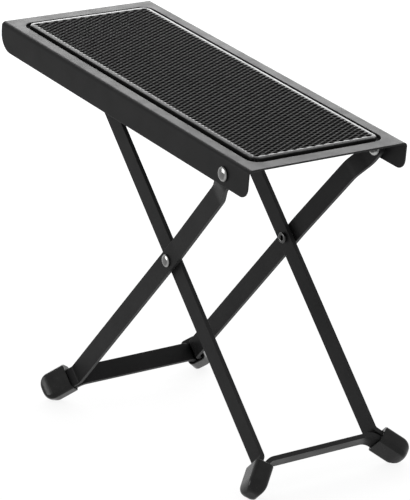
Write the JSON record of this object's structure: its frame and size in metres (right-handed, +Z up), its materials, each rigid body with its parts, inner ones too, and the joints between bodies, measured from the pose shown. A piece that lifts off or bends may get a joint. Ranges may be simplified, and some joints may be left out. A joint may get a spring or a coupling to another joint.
{
  "type": "guitar footrest",
  "caption": "Folding footrest: a sloping flanged foot plate with a rubber mat on two crossed flat-bar frames with rubber feet and a notched height lock.",
  "frame": {"origin": "on the floor, under the centre of the bounding box of the standing footrest", "axes": "+X along the foot plate from its high end to its low end, +Y across it, +Z up; the footrest stands on Z = 0"},
  "size_m": [0.2956, 0.1334, 0.252],
  "materials": {
    "powder_coat": "satin black powder coat on steel",
    "mat_rubber": "moulded black rubber with a fine diamond tread",
    "foot_rubber": "smooth black moulded rubber",
    "rivet_steel": "bright domed steel rivets",
    "zinc_steel": "zinc-plated steel"
  },
  "bodies": {
    "outer_frame": {"outer_leg_frame": "powder_coat", "outer_foot_front": "foot_rubber", "outer_foot_back": "foot_rubber", "crossing_rivet_front": "rivet_steel", "crossing_rivet_back": "rivet_steel", "crossing_washer_front": "zinc_steel", "crossing_washer_back": "zinc_steel"},
    "inner_frame": {"inner_leg_frame": "powder_coat", "latch_rod": "zinc_steel", "inner_foot_front": "foot_rubber", "inner_foot_back": "foot_rubber"},
    "platform": {"platform_plate": "powder_coat", "rubber_mat": "mat_rubber", "height_rack_front": "powder_coat", "height_rack_back": "powder_coat", "platform_rivet_front": "rivet_steel", "platform_rivet_back": "rivet_steel", "platform_washer_front": "zinc_steel", "platform_washer_back": "zinc_steel", "backing_washer_front": "zinc_steel", "backing_washer_back": "zinc_steel"}
  },
  "joints": [
    {"name": "fold", "type": "hinge", "parent": "outer_frame", "child": "inner_frame", "pos_m": [0.0343, 0, 0.1271], "axis": [0, -1, 0], "range_deg": [0, 92.8]},
    {"name": "platform_fold", "type": "hinge", "parent": "outer_frame", "child": "platform", "pos_m": [0.1139, 0, 0.20302], "axis": [0, -1, 0], "range_deg": [-1, 53]}
  ],
  "couplings": [
    {"joint": "platform_fold", "follows": "fold", "ratio": 0.5588}
  ]
}
